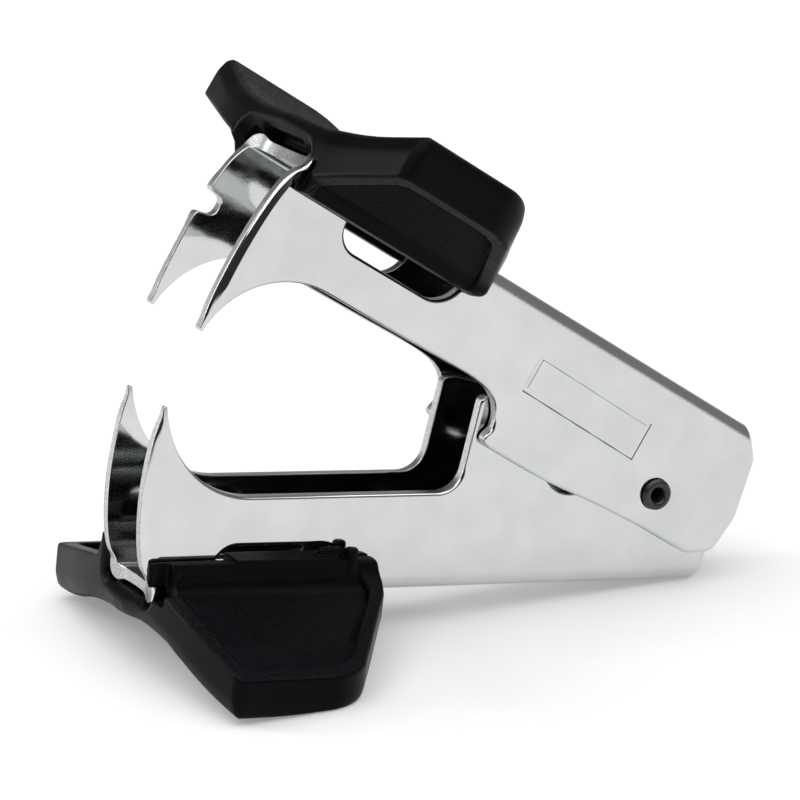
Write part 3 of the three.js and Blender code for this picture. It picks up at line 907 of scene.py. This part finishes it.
def ramp(nodes, links, source, stops):
    r = nodes.new("ShaderNodeValToRGB")
    r.color_ramp.elements[0].position, r.color_ramp.elements[0].color = stops[0][0], stops[0][1]
    r.color_ramp.elements[1].position, r.color_ramp.elements[1].color = stops[-1][0], stops[-1][1]
    for pos, color in stops[1:-1]:
        r.color_ramp.elements.new(pos).color = color
    links.new(source, r.inputs["Fac"])
    return r.outputs["Color"]


def grey(v):
    return (v, v, v, 1)


def map_range(nodes, links, source, lo, hi, to_lo, to_hi):
    n = nodes.new("ShaderNodeMapRange")
    for key, value in (("From Min", lo), ("From Max", hi), ("To Min", to_lo), ("To Max", to_hi)):
        n.inputs[key].default_value = value
    links.new(source, n.inputs["Value"])
    return n.outputs["Result"]


def mix_color(nodes, links, factor, a, b):
    n = nodes.new("ShaderNodeMix")
    n.data_type = "RGBA"
    links.new(factor, n.inputs[0])
    links.new(a, n.inputs[6])
    links.new(b, n.inputs[7])
    return n.outputs[2]


def math_node(nodes, links, op, a, b):
    n = nodes.new("ShaderNodeMath")
    n.operation = op
    for socket, value in zip(n.inputs, (a, b)):
        if isinstance(value, (int, float)):
            socket.default_value = value
        else:
            links.new(value, socket)
    return n.outputs[0]


def bump(nodes, links, height, distance, strength=1.0, normal=None):
    b = nodes.new("ShaderNodeBump")
    b.inputs["Strength"].default_value = strength
    b.inputs["Distance"].default_value = distance
    links.new(height, b.inputs["Height"])
    if normal is not None:
        links.new(normal, b.inputs["Normal"])
    return b.outputs["Normal"]


def mask(nodes, name):
    n = nodes.new("ShaderNodeAttribute")
    n.attribute_name = name
    return n.outputs["Fac"]


def nickel_material():
    m, nodes, links, bsdf = new_material("satin_nickel")
    coord = nodes.new("ShaderNodeTexCoord").outputs["Object"]
    cut, bend = mask(nodes, "cut"), mask(nodes, "bend")
    cloud = noise(nodes, links, coord, 260, 4)
    streaks = noise(nodes, links, coord, 1500, 3, 0.6, (0.12, 1, 1))
    peel = noise(nodes, links, coord, 1900, 2)
    torn = noise(nodes, links, coord, 5200, 3, 0.65)
    bsdf.inputs["Metallic"].default_value = 1.0
    face = ramp(nodes, links, cloud, [(0.3, (0.60, 0.615, 0.61, 1)), (0.7, (0.66, 0.675, 0.67, 1))])
    shorn = ramp(nodes, links, torn, [(0.35, (0.33, 0.335, 0.335, 1)), (0.7, (0.62, 0.63, 0.625, 1))])
    links.new(mix_color(nodes, links, cut, face, shorn), bsdf.inputs["Base Color"])
    rough = math_node(nodes, links, "ADD", map_range(nodes, links, cloud, 0.3, 0.7, 0.035, 0.07),
                      map_range(nodes, links, streaks, 0.35, 0.75, 0.0, 0.04))
    rough = math_node(nodes, links, "ADD", rough, math_node(nodes, links, "MULTIPLY", cut, 0.28))
    links.new(rough, bsdf.inputs["Roughness"])
    normal = bump(nodes, links, peel, 1.5e-6, 0.5)
    normal = bump(nodes, links, streaks, 1.5e-6, 0.4, normal)
    normal = bump(nodes, links, math_node(nodes, links, "MULTIPLY", torn, cut), 1.2e-5, 0.7, normal)
    crushed = math_node(nodes, links, "MULTIPLY", noise(nodes, links, coord, 3600, 3, 0.7), bend)
    normal = bump(nodes, links, crushed, 1.0e-5, 1.0, normal)
    links.new(normal, bsdf.inputs["Normal"])
    return m


def plastic_material():
    m, nodes, links, bsdf = new_material("black_plastic")
    coord = nodes.new("ShaderNodeTexCoord").outputs["Object"]
    fine = noise(nodes, links, coord, 4200, 2)
    coarse = noise(nodes, links, coord, 2600, 3, 0.7)
    cloud = noise(nodes, links, coord, 180, 3)
    smooth = ramp(nodes, links, cloud, [(0.3, (0.0017, 0.0020, 0.0026, 1)),
                                        (0.7, (0.0030, 0.0034, 0.0044, 1))])
    grain = ramp(nodes, links, coarse, [(0.42, (0.006, 0.0062, 0.0066, 1)),
                                        (0.66, (0.034, 0.035, 0.038, 1))])
    speckle = ramp(nodes, links, fine, [(0.35, (0.0012, 0.0014, 0.0018, 1)),
                                        (0.7, (0.0075, 0.0083, 0.0105, 1))])
    color = mix_color(nodes, links, mask(nodes, "tray"), smooth, speckle)
    links.new(mix_color(nodes, links, mask(nodes, "finger"), color, grain), bsdf.inputs["Base Color"])
    bsdf.inputs["Specular IOR Level"].default_value = 0.05
    rough = math_node(nodes, links, "ADD", map_range(nodes, links, cloud, 0.3, 0.7, 0.3, 0.4),
                      math_node(nodes, links, "MULTIPLY", mask(nodes, "finger"), 0.25))
    links.new(rough, bsdf.inputs["Roughness"])
    a = math_node(nodes, links, "MULTIPLY", coarse, mask(nodes, "finger"))
    b = math_node(nodes, links, "MULTIPLY", fine, mask(nodes, "tray"))
    normal = bump(nodes, links, fine, 2.0e-6, 0.5)
    normal = bump(nodes, links, a, 1.0e-4, 1.0, normal)
    normal = bump(nodes, links, b, 6.0e-5, 1.0, normal)
    links.new(normal, bsdf.inputs["Normal"])
    return m


def rivet_material():
    m, nodes, links, bsdf = new_material("black_gloss_rivet")
    coord = nodes.new("ShaderNodeTexCoord").outputs["Object"]
    cloud = noise(nodes, links, coord, 900, 4)
    links.new(ramp(nodes, links, cloud, [(0.3, (0.008, 0.008, 0.009, 1)), (0.75, (0.02, 0.02, 0.022, 1))]),
              bsdf.inputs["Base Color"])
    links.new(map_range(nodes, links, cloud, 0.3, 0.7, 0.2, 0.32), bsdf.inputs["Roughness"])
    links.new(bump(nodes, links, cloud, 1.5e-5, 0.6), bsdf.inputs["Normal"])
    return m


def wire_material():
    m, nodes, links, bsdf = new_material("spring_steel_wire")
    coord = nodes.new("ShaderNodeTexCoord").outputs["Object"]
    cloud = noise(nodes, links, coord, 1200, 4)
    bsdf.inputs["Metallic"].default_value = 1.0
    links.new(ramp(nodes, links, cloud, [(0.3, (0.33, 0.33, 0.34, 1)), (0.7, (0.5, 0.5, 0.51, 1))]),
              bsdf.inputs["Base Color"])
    links.new(map_range(nodes, links, cloud, 0.3, 0.7, 0.25, 0.4), bsdf.inputs["Roughness"])
    links.new(bump(nodes, links, cloud, 1.0e-5, 0.5), bsdf.inputs["Normal"])
    return m


def floor_material():
    m, nodes, links, bsdf = new_material("pale_floor")
    coord = nodes.new("ShaderNodeTexCoord").outputs["Object"]
    cloud = noise(nodes, links, coord, 30, 3)
    links.new(ramp(nodes, links, cloud, [(0.3, grey(0.65)), (0.7, grey(0.67))]), bsdf.inputs["Base Color"])
    bsdf.inputs["Roughness"].default_value = 0.9
    bsdf.inputs["Specular IOR Level"].default_value = 0.1
    glow = ramp(nodes, links, cloud, [(0.3, grey(0.24)), (0.7, grey(0.26))])
    links.new(glow, bsdf.inputs["Emission Color"])
    bsdf.inputs["Emission Strength"].default_value = 1.0
    return m


nickel = nickel_material()
plastic = plastic_material()
for obj, material in ((lower_jaw, nickel), (upper_jaw, nickel), (lower_grip, plastic),
                      (upper_grip, plastic), (rivet, rivet_material()), (spring, wire_material())):
    obj.data.materials.append(material)

# ---------------------------------------------------------------- floor, light and camera

floor_mesh = bpy.data.meshes.new("floor")
FLOOR = 3.0
floor_corners = [(-FLOOR, -FLOOR, 0), (FLOOR, -FLOOR, 0), (FLOOR, FLOOR, 0), (-FLOOR, FLOOR, 0)]
floor_mesh.from_pydata(floor_corners, [], [(0, 1, 2, 3)])
floor = bpy.data.objects.new("floor", floor_mesh)
bpy.context.scene.collection.objects.link(floor)
floor.location.z = -0.00002
floor_mesh.materials.append(floor_material())

world = bpy.data.worlds.new("studio")
bpy.context.scene.world = world
world.use_nodes = True
wn, wl = world.node_tree.nodes, world.node_tree.links
tex = wn.new("ShaderNodeTexCoord")
sep = wn.new("ShaderNodeSeparateXYZ")
wl.new(tex.outputs["Generated"], sep.inputs["Vector"])
# A white sweep up to the horizon, dark above it on the left and dim on the right.
left = [(0.0, 1.0), (0.03, 0.9), (0.13, 0.03), (1.0, 0.06)]
right = [(0.0, 1.0), (0.06, 0.9), (0.2, 0.26), (1.0, 0.1)]
skies = [ramp(wn, wl, sep.outputs["Z"], [(at, grey(v)) for at, v in stops]) for stops in (left, right)]
side = map_range(wn, wl, sep.outputs["X"], -0.3, 0.5, 0.0, 1.0)
wl.new(mix_color(wn, wl, side, *skies), wn["Background"].inputs["Color"])
wn["Background"].inputs["Strength"].default_value = 1.0


def area_light(name, location, target, size, power):
    data = bpy.data.lights.new(name, "AREA")
    data.shape = "RECTANGLE"
    data.size, data.size_y = size
    data.energy = power
    light = bpy.data.objects.new(name, data)
    light.location = location
    light.rotation_euler = (Vector(target) - Vector(location)).to_track_quat("-Z", "Y").to_euler()
    bpy.context.scene.collection.objects.link(light)


overhead = bpy.data.lights.new("overhead", "SUN")
overhead.energy = 3.3
overhead.angle = math.radians(95)
overhead_object = bpy.data.objects.new("overhead", overhead)
overhead_object.rotation_euler = (math.radians(8), math.radians(-4), 0)
bpy.context.scene.collection.objects.link(overhead_object)
area_light("rim", (-0.42, 0.35, 0.22), (0, 0, 0.02), (0.12, 0.3), 1.2)

bpy.context.scene.view_settings.view_transform = "Standard"

CAMERA_AZIMUTH = math.radians(27.43)
CAMERA_ELEVATION = math.radians(15.93)
CAMERA_ROLL = math.radians(-0.20)
CAMERA_DISTANCE = 0.3595
CAMERA_TARGET = Vector((-0.00344, 0.0, 0.02035))
LENS, SENSOR = 180.225, 36

az, el = CAMERA_AZIMUTH, CAMERA_ELEVATION
direction = Vector((math.sin(az) * math.cos(el), math.cos(az) * math.cos(el), -math.sin(el)))
camera_data = bpy.data.cameras.new("camera")
camera_data.lens = LENS
camera_data.sensor_width = SENSOR
camera_data.clip_start = 0.01
camera = bpy.data.objects.new("camera", camera_data)
camera.location = CAMERA_TARGET - direction * CAMERA_DISTANCE
spin = direction.to_track_quat("-Z", "Y").to_matrix()
right = spin @ Vector((1, 0, 0))
up = spin @ Vector((0, 1, 0))
c, s = math.cos(CAMERA_ROLL), math.sin(CAMERA_ROLL)
r2, u2 = right * c + up * s, -right * s + up * c
camera.matrix_world = Matrix.Translation(camera.location) @ Matrix((
    (r2.x, u2.x, -direction.x), (r2.y, u2.y, -direction.y), (r2.z, u2.z, -direction.z))).to_4x4()
bpy.context.scene.collection.objects.link(camera)
bpy.context.scene.camera = camera
